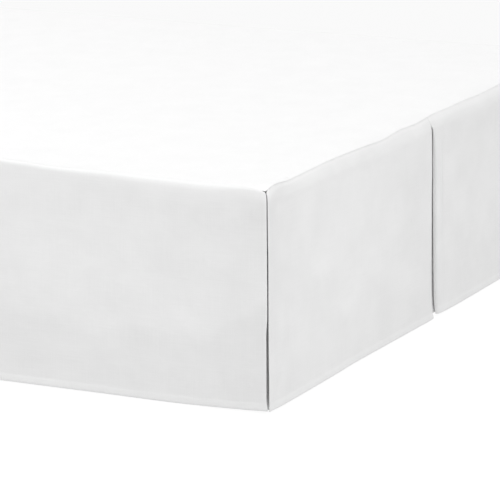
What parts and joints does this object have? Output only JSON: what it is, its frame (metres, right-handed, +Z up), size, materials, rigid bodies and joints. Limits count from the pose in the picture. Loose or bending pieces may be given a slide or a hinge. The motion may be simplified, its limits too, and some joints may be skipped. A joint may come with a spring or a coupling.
{
  "type": "bed skirt on bed base",
  "caption": "White tailored bed skirt with a flat deck, straight drops, split foot corners with flaps behind them and a box pleat in each drop, laid over a plain bed base on legs.",
  "frame": {"origin": "on the floor under the middle of the bed", "axes": "+X across the bed, +Y from its foot to its head, +Z up"},
  "size_m": [1.3791, 1.908, 0.387],
  "materials": {
    "cloth": "plain-woven white cotton blend, ironed, matte",
    "foundation_cover": "off-white woven ticking, matte",
    "leg_wood": "turned beech, satin varnish"
  },
  "bodies": {
    "root": {"deck": "cloth", "foot_drop": "cloth", "side_drop_left": "cloth", "side_drop_right": "cloth", "corner_insert_left": "cloth", "corner_insert_right": "cloth", "foundation": "foundation_cover", "leg_foot_left": "leg_wood", "leg_foot_right": "leg_wood", "leg_middle_left": "leg_wood", "leg_middle_right": "leg_wood", "leg_head_left": "leg_wood", "leg_head_right": "leg_wood"}
  },
  "joints": []
}
